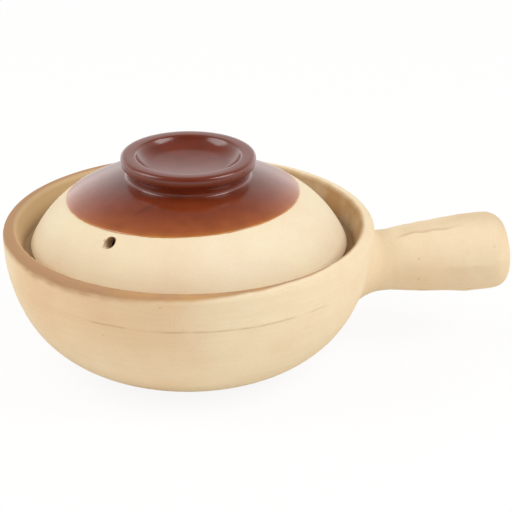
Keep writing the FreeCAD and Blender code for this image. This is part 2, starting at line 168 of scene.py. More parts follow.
def stoneware(name, tones, streaks=0.12, flash=1.0, toasted=False):
    """Unglazed sandy stoneware in three tones. A toasted piece is browner on its lip and inside."""
    material, tree = new_material(name)
    place = add_node(tree, "TexCoord").outputs["Object"]
    clouds = add_node(tree, "TexNoise", {
        "Vector": place, "Scale": 1 / (CLOUDS * MM), "Detail": 3.0, "Roughness": 0.55,
    })
    colour = add_node(tree, "ValToRGB", {"Fac": clouds.outputs["Fac"]}, stops=[
        (0.3, tones[0]), (0.7, tones[2]), (0.5, tones[1]),
    ]).outputs["Color"]
    squashed = add_node(tree, "Mapping", {
        "Vector": place, "Scale": (STREAK_LENGTHENING, STREAK_LENGTHENING, 1.0),
    })
    wiped = add_node(tree, "TexNoise", {
        "Vector": squashed.outputs["Vector"], "Scale": 1 / (STREAK * MM), "Detail": 3.0, "Roughness": 0.6,
    })
    grain = add_node(tree, "TexNoise", {
        "Vector": place, "Scale": 1 / (GRAIN * MM), "Detail": 4.0, "Roughness": 0.7,
    })
    for pattern, share in ((wiped, streaks), (grain, GRAIN_SHARE)):
        tone = add_node(tree, "ValToRGB", {"Fac": pattern.outputs["Fac"]}, stops=[
            (0.34, "#efe3d2"), (0.6, "#ffffff"),
        ])
        colour = add_node(tree, "MixRGB", {
            "Fac": share, "Color1": colour, "Color2": tone.outputs["Color"],
        }, blend_type="MULTIPLY").outputs["Color"]

    # The flash: on the side that faced the fire the clay is warmer, most of all high on the wall.
    height = add_node(tree, "SeparateXYZ", {"Vector": place}).outputs["Z"]
    up_the_wall = add_node(tree, "MapRange", {
        "Value": height, "From Min": FLASH_BOTTOM * MM, "From Max": FLASH_TOP * MM,
        "To Min": FLASH_LOW_SHARE * flash, "To Max": flash,
    })
    warm = add_node(tree, "Math", {
        0: toward(tree, place, FLASH_SIDE, 0.7, 0.97), 1: up_the_wall.outputs["Result"],
    }, operation="MULTIPLY")
    colour = add_node(tree, "MixRGB", {
        "Fac": warm.outputs["Value"], "Color1": colour, "Color2": linear("#f7eae0"),
    }, blend_type="MULTIPLY").outputs["Color"]

    # Pits: in some cells of a scattered pattern, a dark spot about a millimetre across: painted shade in a
    # pit, which the bump also dents.
    cells = add_node(tree, "TexVoronoi", {"Vector": place, "Scale": 1 / (PIT_SPACING * MM)})
    spot = add_node(tree, "MapRange", {
        "Value": cells.outputs["Distance"], "From Min": PIT_CORE / PIT_SPACING,
        "From Max": PIT_EDGE / PIT_SPACING, "To Min": 1.0, "To Max": 0.0,
    })
    chance = add_node(tree, "SeparateColor", {"Color": cells.outputs["Color"]})
    some = add_node(tree, "Math", {0: chance.outputs["Red"], 1: 1 - PIT_CHANCE}, operation="GREATER_THAN")
    pits = add_node(tree, "Math", {0: spot.outputs["Result"], 1: some.outputs["Value"]}, operation="MULTIPLY")
    faint = add_node(tree, "Math", {0: pits.outputs["Value"], 1: PIT_SHADE}, operation="MULTIPLY")
    colour = add_node(tree, "MixRGB", {
        "Fac": faint.outputs["Value"], "Color1": colour, "Color2": linear("#b8946a"),
    }).outputs["Color"]

    # Painted shade: creases, pits, the vent and pressed flats are darkened brown, as far as the piece says.
    painted_shade = add_node(tree, "Attribute", attribute_name="painted_shade")
    colour = add_node(tree, "MixRGB", {
        "Fac": painted_shade.outputs["Fac"], "Color1": colour, "Color2": linear("#b18c62"),
    }).outputs["Color"]

    if toasted:
        colour = toast(tree, place, colour)
    relief = add_node(tree, "Math", {
        0: grain.outputs["Fac"], 1: pits.outputs["Value"],
    }, operation="SUBTRACT")
    bump = add_node(tree, "Bump", {
        "Height": relief.outputs["Value"], "Strength": 0.3, "Distance": 0.12 * MM,
    })
    surface = add_node(tree, "BsdfPrincipled", {
        "Base Color": colour, "Normal": bump.outputs["Normal"], "Roughness": 0.88, "IOR": 1.5,
        "Specular IOR Level": 0.25,
    })
    add_node(tree, "OutputMaterial", {"Surface": surface.outputs["BSDF"]})
    return material


# %% [markdown]
# In the kiln the mouth toasted. The colour climbs over the lip on the left, a little less far at the
# front, and on the right it stops on the inner side. It is browner on the crest than inside, with
# golden patches from the front round to the right, and towards the right it is darkened with painted
# shade. One measure grows all the way from the outside of the lip, over its crest and down inside.
# So the toasted edge is where that measure passes a limit, which moves round the rim and wavers.

# %% Toasted mouth
# Lengths are in millimetres of the measure, and sides are azimuths in degrees.
TOAST_LIMIT = 84.0
TOAST_SWING = 11.0
TOAST_AWAY_SHADED_SIDE = 18.0
CLIMB = 3.0
TOAST_FADE = 7.0
RAGGED = 7.0
PATCH = 16.0
CREST_END = 92.0
INSIDE_START = 96.5
GOLDEN_SIDE = 325.0
GOLDEN_SHARE = 0.6


def toast(tree, place, colour):
    """Browns the mouth from a soft, wavering edge on the lip, over its crest and down inside, with painted
    shade towards the right.
    """
    height = add_node(tree, "SeparateXYZ", {"Vector": place}).outputs["Z"]
    flat = add_node(tree, "VectorMath", {0: place, 1: (1.0, 1.0, 0.0)}, operation="MULTIPLY")
    radius = add_node(tree, "VectorMath", {0: flat.outputs["Vector"]}, operation="LENGTH")
    inwards = add_node(tree, "Math", {
        0: radius.outputs["Value"], 1: -CLIMB, 2: CLIMB * RIM_RADIUS * MM,
    }, operation="MULTIPLY_ADD")
    over_the_lip = add_node(tree, "Math", {0: inwards.outputs["Value"], 1: height}, operation="ADD")
    waver = add_node(tree, "TexNoise", {"Vector": place, "Scale": 1 / (PATCH * MM), "Detail": 2.0})
    away = toward(tree, place, TOAST_AWAY_SHADED_SIDE, -1.0, 1.0)
    measure = over_the_lip
    for amount, reach in ((away, -2 * TOAST_SWING * MM), (waver.outputs["Fac"], RAGGED * MM)):
        measure = add_node(tree, "Math", {
            0: amount, 1: reach, 2: measure.outputs["Value"],
        }, operation="MULTIPLY_ADD")
    limit = TOAST_LIMIT - TOAST_SWING + RAGGED / 2
    mouth = add_node(tree, "MapRange", {
        "Value": measure.outputs["Value"], "From Min": (limit - TOAST_FADE / 2) * MM,
        "From Max": (limit + TOAST_FADE / 2) * MM,
    }, interpolation_type="SMOOTHSTEP")

    inside = add_node(tree, "MapRange", {
        "Value": over_the_lip.outputs["Value"], "From Min": CREST_END * MM, "From Max": INSIDE_START * MM,
    })
    tan = add_node(tree, "MixRGB", {
        "Fac": inside.outputs["Result"], "Color1": linear("#b28a65"), "Color2": linear("#cdaf86"),
    }).outputs["Color"]
    gold = add_node(tree, "MapRange", {
        "Value": waver.outputs["Fac"], "From Min": 0.42, "From Max": 0.62, "To Max": GOLDEN_SHARE,
    })
    golden = add_node(tree, "Math", {
        0: toward(tree, place, GOLDEN_SIDE, -0.3, 0.6), 1: gold.outputs["Result"],
    }, operation="MULTIPLY")
    tan = add_node(tree, "MixRGB", {
        "Fac": golden.outputs["Value"], "Color1": tan, "Color2": linear("#cb9c62"),
    }).outputs["Color"]
    # Painted shade: the mouth is darker towards the right, the side where the toast stays inside.
    tan = add_node(tree, "MixRGB", {
        "Fac": toward(tree, place, TOAST_AWAY_SHADED_SIDE, -0.2, 0.9), "Color1": tan, "Color2": linear("#e4dfdd"),
    }, blend_type="MULTIPLY").outputs["Color"]
    browned = add_node(tree, "MixRGB", {"Fac": mouth.outputs["Result"], "Color1": colour, "Color2": tan})
    return browned.outputs["Color"]


lid_clay = stoneware("lid_stoneware", LID_CLAY, streaks=0.06, flash=0.35)
bowl_clay = stoneware("bowl_stoneware", POT_CLAY)
rim_clay = stoneware("toasted_stoneware", POT_CLAY, toasted=True)
handle_clay = stoneware("handle_stoneware", HANDLE_CLAY, streaks=0.0, flash=0.0)
print("clay materials ready")

# %% [markdown]
# The glaze on the lid is a glossy iron brown. It was poured or dipped and ran a little before it
# froze, so it is deep red-brown where it is thick, by the knob, and thins to orange and amber at its
# edge. The gloss is a plain dielectric one with an IOR of 1.6, as of a glaze rich in iron, a
# little soft.

# %% Lid glaze material
GLAZE_HEIGHT = 92.4
GLAZE_LEAN = math.radians(2.0)
GLAZE_HIGH_SIDE = math.radians(-39.9)
GLAZE_THINNING = 12.0
GLAZE_RUNS = 9.0
GLAZE_WAVES = 5.0
SMUDGE_PLACE = Vector((-27.0, -36.0, 100.0))
SMUDGE_TURN = math.radians(21.0)
SMUDGE_SIZE = Vector((7.5, 3.0, 8.0))
glaze_normal = Vector((
    -math.sin(GLAZE_LEAN) * math.cos(GLAZE_HIGH_SIDE),
    -math.sin(GLAZE_LEAN) * math.sin(GLAZE_HIGH_SIDE),
    math.cos(GLAZE_LEAN),
))


def iron_glaze(name):
    """The glossy red-brown glaze, coloured by its height over the line where it stops."""
    material, tree = new_material(name)
    place = add_node(tree, "TexCoord").outputs["Object"]
    over = add_node(tree, "VectorMath", {0: place, 1: glaze_normal}, operation="DOT_PRODUCT")
    depth = add_node(tree, "MapRange", {
        "Value": over.outputs["Value"], "From Min": GLAZE_HEIGHT * MM,
        "From Max": (GLAZE_HEIGHT + GLAZE_THINNING) * MM,
    })
    colour = add_node(tree, "ValToRGB", {"Fac": depth.outputs["Result"]}, stops=[
        (0.0, "#c98c48"), (1.0, "#702b15"), (0.03, "#ab6029"), (0.14, "#994e22"), (0.5, "#813919"),
    ])
    runs = add_node(tree, "TexNoise", {"Vector": place, "Scale": 1 / (GLAZE_RUNS * MM), "Detail": 3.0})
    runs_tone = add_node(tree, "ValToRGB", {"Fac": runs.outputs["Fac"]}, stops=[
        (0.3, "#d8cfca"), (0.65, "#ffffff"),
    ])
    colour = add_node(tree, "MixRGB", {
        "Fac": 0.5, "Color1": colour.outputs["Color"], "Color2": runs_tone.outputs["Color"],
    }, blend_type="MULTIPLY")

    # One dark smudge lies on the front left, where the glaze ran together.
    smudge = add_node(tree, "Mapping", {
        "Vector": place, "Location": SMUDGE_PLACE * MM, "Rotation": (0.0, 0.0, SMUDGE_TURN),
        "Scale": SMUDGE_SIZE * MM,
    }, vector_type="TEXTURE")
    from_smudge = add_node(tree, "VectorMath", {0: smudge.outputs["Vector"]}, operation="LENGTH")
    dark = add_node(tree, "MapRange", {
        "Value": from_smudge.outputs["Value"], "From Min": 0.3, "From Max": 1.0,
        "To Min": 0.4, "To Max": 0.0,
    }, interpolation_type="SMOOTHSTEP")
    colour = add_node(tree, "MixRGB", {
        "Fac": dark.outputs["Result"], "Color1": colour.outputs["Color"], "Color2": linear("#551d12"),
    })
    waves = add_node(tree, "TexNoise", {"Vector": place, "Scale": 1 / (GLAZE_WAVES * MM), "Detail": 2.0})
    bump = add_node(tree, "Bump", {"Height": waves.outputs["Fac"], "Strength": 0.12, "Distance": 0.3 * MM})
    surface = add_node(tree, "BsdfPrincipled", {
        "Base Color": colour.outputs["Color"], "Normal": bump.outputs["Normal"], "Roughness": 0.19,
        "IOR": 1.6,
    })
    add_node(tree, "OutputMaterial", {"Surface": surface.outputs["BSDF"]})
    return material


lid_glaze = iron_glaze("iron_brown_glaze")
print(f"{lid_glaze.name} ready")

# %% [markdown]
# Inside, the pot and the lid are lined with a plain brown glaze that was swilled round and poured
# out. It is thinner and evener than the one on the crown.

# %% Lining glaze material
MOTTLE = 12.0


def lining(name):
    """Thin glossy brown lining glaze."""
    material, tree = new_material(name)
    place = add_node(tree, "TexCoord").outputs["Object"]
    mottle = add_node(tree, "TexNoise", {"Vector": place, "Scale": 1 / (MOTTLE * MM), "Detail": 4.0})
    colour = add_node(tree, "ValToRGB", {"Fac": mottle.outputs["Fac"]}, stops=[
        (0.3, "#6f3f22"), (0.7, "#8a5429"),
    ])
    surface = add_node(tree, "BsdfPrincipled", {
        "Base Color": colour.outputs["Color"], "Roughness": 0.25, "IOR": 1.52,
    })
    add_node(tree, "OutputMaterial", {"Surface": surface.outputs["BSDF"]})
    return material


lining_glaze = lining("brown_lining_glaze")
print(f"{lining_glaze.name} ready")

# %% [markdown]
# Thrown pieces are turned forms. As on the wheel, each starts as one outline and goes once round the
# axis. In Blender that is a single point, extruded along the outline and then spun.

# %% Helpers for turned pieces
def deselect_all():
    bpy.ops.object.select_all(action="DESELECT")


def arc_points(centre, radius, start, end, spacing=1.2):
    """Points along an arc. Angles are in degrees, from level outwards, and up is positive."""
    length = abs(math.radians(end - start)) * radius
    steps = max(3, round(length / spacing))
    angles = [math.radians(start + (end - start) * step / steps) for step in range(steps + 1)]
    return [(centre[0] + radius * math.cos(angle), centre[1] + radius * math.sin(angle)) for angle in angles]


def line_points(start, end, spacing=1.5):
    """Points between two ends, without the ends."""
    steps = max(1, round(math.dist(start, end) / spacing))
    return [
        (start[0] + (end[0] - start[0]) * step / steps, start[1] + (end[1] - start[1]) * step / steps)
        for step in range(1, steps)
    ]


def rounded(before, corner, after, radius, steps=5):
    """The points of a small round at a corner, between the spans before and after it."""
    corner = Vector(corner)
    to_before = (Vector(before) - corner).normalized()
    to_after = (Vector(after) - corner).normalized()
    half = to_before.angle(to_after) / 2
    centre = corner + (to_before + to_after).normalized() * radius / math.sin(half)
    first = corner + to_before * radius / math.tan(half) - centre
    last = corner + to_after * radius / math.tan(half) - centre
    return [tuple(centre + first.slerp(last, step / steps)) for step in range(steps + 1)]


def turn_piece(name, outline, steps=256):
    """One point, extruded along an outline of (radius, height) and spun round the upright axis."""
    points = [Vector((radius, 0.0, height)) * MM for radius, height in outline]
    deselect_all()
    bpy.ops.mesh.primitive_plane_add(size=MM)
    piece = bpy.context.object
    piece.name = name
    bpy.ops.object.mode_set(mode="EDIT")
    bpy.ops.mesh.merge(type="CENTER")
    bpy.ops.transform.translate(value=points[0])
    for start, end in zip(points, points[1:]):
        bpy.ops.mesh.extrude_vertices_move(TRANSFORM_OT_translate={"value": end - start})
    bpy.ops.mesh.select_all(action="SELECT")
    bpy.ops.mesh.spin(steps=steps, angle=math.tau, center=(0, 0, 0), axis=(0, 0, 1))
    bpy.ops.mesh.select_all(action="SELECT")
    bpy.ops.mesh.remove_doubles(threshold=0.004 * MM)
    bpy.ops.mesh.normals_make_consistent(inside=False)
    bpy.ops.object.mode_set(mode="OBJECT")
    return piece


def smooth_between(value, low, high):
    """0 below low, 1 above high, and an even curve between."""
    share = min(max((value - low) / (high - low), 0.0), 1.0)
    return share * share * (3 - 2 * share)


def press_in(piece, depth):
    """Moves a turned surface towards its axis, by the depth in mm that a function gives at a point."""
    for vertex in piece.data.vertices:
        flat = Vector((vertex.co.x, vertex.co.y, 0.0))
        if flat.length > MM:
            vertex.co -= flat.normalized() * depth(vertex.co / MM) * MM


def write_painted_shade(piece, shares):
    """Writes how far painted shade darkens each point, from 0 to 1, for the clay material to read."""
    attribute = piece.data.attributes.new("painted_shade", "FLOAT", "POINT")
    attribute.data.foreach_set("value", shares)


def paint_shade(piece, share):
    """Paints shade on a piece by a function of each point's place in mm."""
    write_painted_shade(piece, [share(vertex.co / MM) for vertex in piece.data.vertices])


def finish_piece(piece, material, body, slot, *nodes):
    """Gives a piece its material and its body, and hides the solids of the nodes it stands for. The slot is
    not used.
    """
    piece.data.materials.clear()
    piece.data.materials.append(material)
    deselect_all()
    piece.select_set(True)
    bpy.context.view_layer.objects.active = piece
    bpy.ops.object.shade_smooth_by_angle(angle=math.radians(50))
    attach(piece, body)
    if nodes:
        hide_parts(*nodes)
    triangles = sum(len(face.vertices) - 2 for face in piece.data.polygons)
    print(f"{piece.name}: {triangles} triangles, rides on {body}")


# %% [markdown]
# The bowl and its rim band meet at a crease. The outside is two arcs that run into one another, and
# the inside is the same curve, one wall thickness further in. The rim band has the rounded lip, and
# a mouth that leans outwards over the ledge that carries the lid.

# %% Sections of the bowl and the rim band
LIP_ROUNDING = 4.3
WALL_ARC = 89.8
BELLY_ARC = 62.0
BELLY_TURN = 24.7
WALL = 8.2
FLOOR = 8.6
SEAT_HEIGHT = 62.9
SEAT_RADIUS = 88.6
MOUTH_RADIUS = 92.4
LEDGE_RADIUS = 80.0
LEDGE_NOSE = 4.9
LEDGE_ROOT = 50.0
CREASE_HEIGHT = 56.3
NOSE_ROUNDING = 1.4
SEAT_ROUNDING = 1.0

# How far apart an outline's points lie: fine where marks are pressed in, coarse where it is flat.
FINE = 0.6
MEDIUM = 3.0
COARSE = 4.0

wall_centre = (RIM_RADIUS - WALL_ARC, RIM_HEIGHT - LIP_ROUNDING)
belly_step = WALL_ARC - BELLY_ARC
belly_centre = (
    wall_centre[0] + belly_step * math.cos(math.radians(BELLY_TURN)),
    wall_centre[1] - belly_step * math.sin(math.radians(BELLY_TURN)),
)


def slope_at(centre, radius, height):
    """The angle, in degrees, at which an arc passes a height."""
    return math.degrees(math.asin((height - centre[1]) / radius))


def bowl_radius(height):
    """The outside radius of the bowl at a height."""
    joint = wall_centre[1] - WALL_ARC * math.sin(math.radians(BELLY_TURN))
    centre, radius = (wall_centre, WALL_ARC) if height > joint else (belly_centre, BELLY_ARC)
    return centre[0] + math.sqrt(radius ** 2 - (height - centre[1]) ** 2)


inner_wall, inner_belly = WALL_ARC - WALL, BELLY_ARC - WALL
root_slope = slope_at(wall_centre, inner_wall, LEDGE_ROOT)
crease_slope = slope_at(wall_centre, WALL_ARC, CREASE_HEIGHT)


def bowl_outline():
    """The section of the bowl: foot, belly and wall outside, the bevel at the crease, and inside."""
    foot = slope_at(belly_centre, BELLY_ARC, 0.0)
    floor = slope_at(belly_centre, inner_belly, FLOOR)
    outside = arc_points(belly_centre, BELLY_ARC, foot, -BELLY_TURN)
    outside += arc_points(wall_centre, WALL_ARC, -BELLY_TURN, crease_slope, FINE)[1:]
    inside = arc_points(wall_centre, inner_wall, root_slope, -BELLY_TURN)
    inside += arc_points(belly_centre, inner_belly, -BELLY_TURN, floor)[1:]
    return (
        [(0.0, 0.0)] + line_points((0.0, 0.0), outside[0], COARSE) + outside
        + line_points(outside[-1], inside[0], MEDIUM) + inside
        + line_points(inside[-1], (0.0, FLOOR), COARSE) + [(0.0, FLOOR)]
    )


def rim_outline():
    """The section of the rim band: the wall from the crease up, the lip, the seat and the ledge."""
    lip_centre = (RIM_RADIUS - LIP_ROUNDING, RIM_HEIGHT - LIP_ROUNDING)
    mouth_rounding = lip_centre[0] - MOUTH_RADIUS
    mouth_centre = (lip_centre[0], RIM_HEIGHT - mouth_rounding)
    outside = arc_points(wall_centre, WALL_ARC, crease_slope, 0.0, FINE)
    lip = arc_points(lip_centre, LIP_ROUNDING, 0.0, 90.0, FINE)[1:]
    lip += arc_points(mouth_centre, mouth_rounding, 90.0, 180.0, FINE)[1:]
    root = arc_points(wall_centre, inner_wall, root_slope, -BELLY_TURN)[0]
    seat = (SEAT_RADIUS, SEAT_HEIGHT)
    nose = (LEDGE_RADIUS, SEAT_HEIGHT)
    under = (LEDGE_RADIUS, SEAT_HEIGHT - LEDGE_NOSE)
    ledge = rounded(lip[-1], seat, nose, SEAT_ROUNDING) + rounded(seat, nose, under, NOSE_ROUNDING)
    ledge += rounded(nose, under, root, NOSE_ROUNDING)
    return (
        outside + lip + line_points(lip[-1], ledge[0]) + ledge + line_points(ledge[-1], root) + [root]
        + line_points(root, outside[0], MEDIUM) + [outside[0]]
    )


print(f"sections: bowl {len(bowl_outline())} points, rim band {len(rim_outline())} points")

# %% [markdown]
# A hand-made pot isn't an even curve. It has soft lumps, faint rings from the wheel, the crease where
# the rim band was added, and slip that was smeared over the lip. Each is a depth in millimetres that
# a function gives at a point, and the turned surface is pressed in by their sum.

# %% Marks of the hands on the pot
HAND_DEPTH = 0.17
LUMPS = ((0.12, 38.0), (0.05, 9.0))
RING_DEPTH = 0.02
RING_RATE = 2.1
RING_WAVER = 4.0
CREASE_DEPTH = 0.28
CREASE_WIDTH = 0.45
# How far painted shade darkens the crease.
CREASE_SHADE = 0.5
CREASE_RISE = 2.6
CREASE_WAVER = 0.5
CREASE_LOW_SIDE = math.radians(268.0)
CREASE_FAINTEST = 0.25
CREASE_AT_BACK = 0.12
SMEAR_DEPTH = 0.28
SMEARED_SIDE = Vector((-0.79, -0.61, 0.0))
AROUND = 3.0


def crease_share(point):
    """How near a point is to the crease round the outside, which wavers and fades in and out."""
    if math.hypot(point.x, point.y) < RIM_RADIUS - 6.0:
        return 0.0
    azimuth = math.atan2(point.y, point.x)
    around = Vector((math.cos(azimuth), math.sin(azimuth), 0.0)) * AROUND
    line = CREASE_HEIGHT - 0.1 + CREASE_RISE * math.sin(azimuth - CREASE_LOW_SIDE) ** 2
    line += CREASE_WAVER * noise.noise(around * 2.0)
    broken = smooth_between(noise.noise(around * 3.0 + Vector((0, 0, 5))), -0.25, 0.2)
    in_front = smooth_between(math.cos(azimuth - CREASE_LOW_SIDE), 0.7, 0.86)
    faint = CREASE_FAINTEST + (1 - CREASE_FAINTEST) * broken
    faint *= CREASE_AT_BACK + (1 - CREASE_AT_BACK) * in_front
    return faint * math.exp(-((point.z - line) / CREASE_WIDTH) ** 2)


def lip_smears(point, flat):
    """Slip that was smeared over the lip, at the front left, made uneven steps just under its crest."""
    facing = flat.normalized().dot(SMEARED_SIDE)
    if facing < 0.9 or point.z < RIM_HEIGHT - 6.0:
        return 0.0
    patch = smooth_between(noise.noise(Vector((point.x / 7.0, point.y / 7.0, point.z / 1.6))), 0.0, 0.12)
    return SMEAR_DEPTH * patch * smooth_between(facing, 0.9, 0.97)


def pot_marks(point):
    """How far hands and sponge left the pot under its even curve, in mm, at a point."""
    flat = Vector((point.x, point.y, 0.0))
    if point.z < 0.5 or flat.length < LEDGE_RADIUS + 5:
        return 0.0
    lumps = sum(depth * noise.noise(point / size) for depth, size in LUMPS)
    waver = RING_WAVER * noise.noise(flat.normalized() * AROUND)
    rings = RING_DEPTH * math.sin(point.z * RING_RATE + waver)
    return HAND_DEPTH + lumps + rings + CREASE_DEPTH * crease_share(point) + lip_smears(point, flat)


def crease_shade(point):
    """Painted shade darkens the crease."""
    return CREASE_SHADE * crease_share(point)


# %% [markdown]
# The bowl is spun from its section, and so is the rim band. The rim that the hands left isn't quite
# level either: its front lies a millimetre lower than its back.

# %% Bowl and rim band
RIM_DIP = 1.0
RIM_LOW_SIDE = 250.0


def settle_rim(piece):
    """Lowers the lip on its low side, fading out down to the seat."""
    for vertex in piece.data.vertices:
        point = vertex.co / MM
        outwards = Vector((point.x, point.y, 0.0)).normalized()
        share = (1 + outwards.dot(level_direction(RIM_LOW_SIDE))) / 2
        vertex.co.z -= RIM_DIP * share * smooth_between(point.z, SEAT_HEIGHT + 1.0, RIM_HEIGHT - 3.0) * MM


bowl = turn_piece("bowl", bowl_outline(), steps=320)
press_in(bowl, pot_marks)
paint_shade(bowl, crease_shade)
finish_piece(bowl, bowl_clay, "pot", "clay", "pot_bowl")
rim_band = turn_piece("rim_band", rim_outline(), steps=360)
press_in(rim_band, pot_marks)
settle_rim(rim_band)
paint_shade(rim_band, crease_shade)
finish_piece(rim_band, rim_clay, "pot", "clay", "pot_rim")

# %% [markdown]
# The handle was rolled round a stick, so it is hollow, and its root was pressed and smoothed onto the
# wet bowl. So its root flares into the bowl like a fillet: hardly at all on top, where it meets the
# wall under the lip, and widely underneath. It is spun upright like the other turned pieces, and laid
# along its own rising axis afterwards.

# %% Section of the handle
# A station is a length along the axis, from the neck, and the radius there.
HANDLE_RISE = math.radians(2.6)
NECK = (109.0, 48.3)
STATIONS = ((0.0, 17.0), (21.0, 19.6), (41.0, 21.3), (54.0, 21.4), (66.0, 20.4))
BORE_RADIUS = 8.5
BORE_DEPTH = 52.0
BORE_MOUTH = 1.0
END_ROUNDING = 11.0
END_TRIM = 1.1
GRIP_RINGS = 84
ROOT_RINGS = 14
along = Vector((math.cos(HANDLE_RISE), 0.0, math.sin(HANDLE_RISE)))
upward = Vector((-math.sin(HANDLE_RISE), 0.0, math.cos(HANDLE_RISE)))
across = Vector((0.0, 1.0, 0.0))
neck_point = Vector((NECK[0], 0.0, NECK[1]))
end_length = (HANDLE_END - NECK[0]) / math.cos(HANDLE_RISE) - END_TRIM


def handle_radius(length):
    """The handle's radius at a length along its axis, from the neck outwards."""
    for (start, first), (end, last) in zip(STATIONS, STATIONS[1:]):
        if length <= end:
            share = min(max((length - start) / (end - start), 0.0), 1.0)
            return first + (last - first) * share
    return STATIONS[-1][1]


def handle_outline():
    """Half the handle's section, as (length, radius): bore, open end, grip, neck and root rings."""
    quarter = [math.radians(degrees) for degrees in range(0, 91, 15)]
    tip = end_length - BORE_DEPTH + BORE_RADIUS
    bore = [(tip - BORE_RADIUS * math.cos(turn), BORE_RADIUS * math.sin(turn)) for turn in quarter]
    mouth = [
        (end_length - BORE_MOUTH + BORE_MOUTH * math.sin(turn),
         BORE_RADIUS + BORE_MOUTH - BORE_MOUTH * math.cos(turn))
        for turn in quarter
    ]
    knuckle = end_length - END_ROUNDING
    shoulder = handle_radius(knuckle) - END_ROUNDING
    knuckle_turns = [math.radians(degrees) for degrees in range(5, 91, 5)]
    end = [
        (knuckle + END_ROUNDING * math.cos(turn), shoulder + END_ROUNDING * math.sin(turn))
        for turn in knuckle_turns
    ]
    lengths = [knuckle * (1 - step / GRIP_RINGS) for step in range(1, GRIP_RINGS + 1)]
    grip = [(length, handle_radius(length)) for length in lengths]
    root = [(-float(ring), STATIONS[0][1]) for ring in range(1, ROOT_RINGS + 1)]
    return bore + line_points(bore[-1], mouth[0], MEDIUM) + mouth + end + grip + root


print(f"section: handle {len(handle_outline())} points, {end_length:.1f} mm from neck to end")

# %% [markdown]
# Wet clay keeps what the hands did to it. Along the top, by the root, a soft swelling was flattened,
# and the flat ends at the front in a thin crease. Towards the open end a second flat was pressed
# under the front side. A few grains fell out and left pits. The crease and the flat above it, the
# lower flat by its edge, the pits and the top of the grip are darkened brown with painted shade.

# %% Marks of the hands on the handle
# Lengths are in mm, and angles in degrees from the top towards the front. A stretch is where a mark
# starts, is full, fades and ends. A pit is its length, its angle and its size.
SWELL = 0.6
SWELL_TURN = -5.0
SWELL_WIDTH = 11.0
SWELL_STRETCH = (4.0, 16.0, 30.0, 44.0)
TOP_CREASE = 22.0
TOP_WANDER = 4.0
TOP_DRIFT = 0.04
TOP_STRETCH = (1.0, 10.0, 26.0, 44.0)
TOP_FLAT = 27.0
TOP_PRESS = 0.4
GROOVE_WIDTH = 0.8
GROOVE_DEPTH = 0.45
UNDER_EDGE = 88.0
UNDER_WANDER = 7.0
UNDER_START = (18.0, 40.0)
UNDER_FLAT = 30.0
UNDER_PRESS = 0.35
# Where painted shade darkens the top of the grip: its width in degrees and its start along the handle.
TOP_SHADE_WIDTH = 26.0
TOP_SHADE_START = (24.0, 44.0)
HANDLE_PITS = ((13.7, 107.6, 0.7), (55.7, 62.8, 0.6), (14.4, 70.0, 0.5), (39.0, 52.0, 0.4))
HANDLE_LUMPS = ((0.5, 17.0), (0.14, 6.0))
HANDLE_PRESS = 0.25


def stretch(value, starts, full, fades, ends):
    """1 along a stretch, with an even rise before it and an even fall after it."""
    return smooth_between(value, starts, full) * (1 - smooth_between(value, fades, ends))


def facet(radius, turned, middle, half_angle, share):
    """The radius once a flat was pressed on the handle, centred on an angle, by a share of its depth."""
    away = abs((turned - middle + 180.0) % 360.0 - 180.0)
    if away >= half_angle:
        return radius
    flat = radius * math.cos(math.radians(half_angle)) / math.cos(math.radians(away))
    return radius - (radius - flat) * share


def press_pits(radius, length, turned):
    """The radius with the pits in it, and how far painted shade darkens them."""
    brown = 0.0
    for pit_length, pit_turned, size in HANDLE_PITS:
        around = math.radians(turned - pit_turned) * radius
        pit = math.exp(-((length - pit_length) ** 2 + around ** 2) / (0.6 * size) ** 2)
        radius -= 0.5 * size * pit
        brown += 0.7 * pit
    return radius, brown


def handle_marks(radius, length, turned):
    """The radius after smoothing by hand, and how far painted shade darkens the mark, from 0 to 1."""
    across_top = math.radians(turned - SWELL_TURN) * radius / SWELL_WIDTH
    radius += SWELL * math.exp(-across_top ** 2) * stretch(length, *SWELL_STRETCH)
    wander = TOP_WANDER * noise.noise(Vector((length / 9.0, 0.0, 0.0)))
    crease = TOP_CREASE + wander + TOP_DRIFT * length
    along_top = stretch(length, *TOP_STRETCH)
    radius = facet(radius, turned, crease - TOP_FLAT, TOP_FLAT, TOP_PRESS * along_top)
    off = math.radians((turned - crease + 180.0) % 360.0 - 180.0) * radius
    line = along_top * math.exp(-(off / GROOVE_WIDTH) ** 2)
    above = along_top * stretch(-off, 0.0, 1.5, 4.0, 14.0)

    along_end = smooth_between(length, *UNDER_START)
    edge = UNDER_EDGE + UNDER_WANDER * noise.noise(Vector((length / 11.0, 3.0, 0.0)))
    radius = facet(radius, turned, edge + UNDER_FLAT, UNDER_FLAT, UNDER_PRESS * along_end)
    below = math.radians(turned - edge) * radius
    shade = along_end * stretch(below, 0.0, 1.2, 6.0, 16.0)
    from_top = (turned + 180.0) % 360.0 - 180.0
    top = math.exp(-(from_top / TOP_SHADE_WIDTH) ** 2) * smooth_between(length, *TOP_SHADE_START)
    # Painted shade: the crease, the flat above it, the lower flat by its edge and the top of the grip.
    brown = 0.5 * line + 0.16 * above + 0.03 * shade + 0.3 * top

    radius, pits_shade = press_pits(radius - GROOVE_DEPTH * line, length, turned)
    angle = math.radians(turned)
    spot = Vector((length, radius * math.cos(angle), radius * math.sin(angle)))
    lumps = sum(height * noise.noise(spot / size) for height, size in HANDLE_LUMPS)
    return radius + lumps - HANDLE_PRESS, min(brown + pits_shade, 1.0)


# %% [markdown]
# Last the handle is laid down, and its root rings widen into a hollow curve that meets the bowl's
# face. The outermost ring sinks in a little, so that no gap shows.

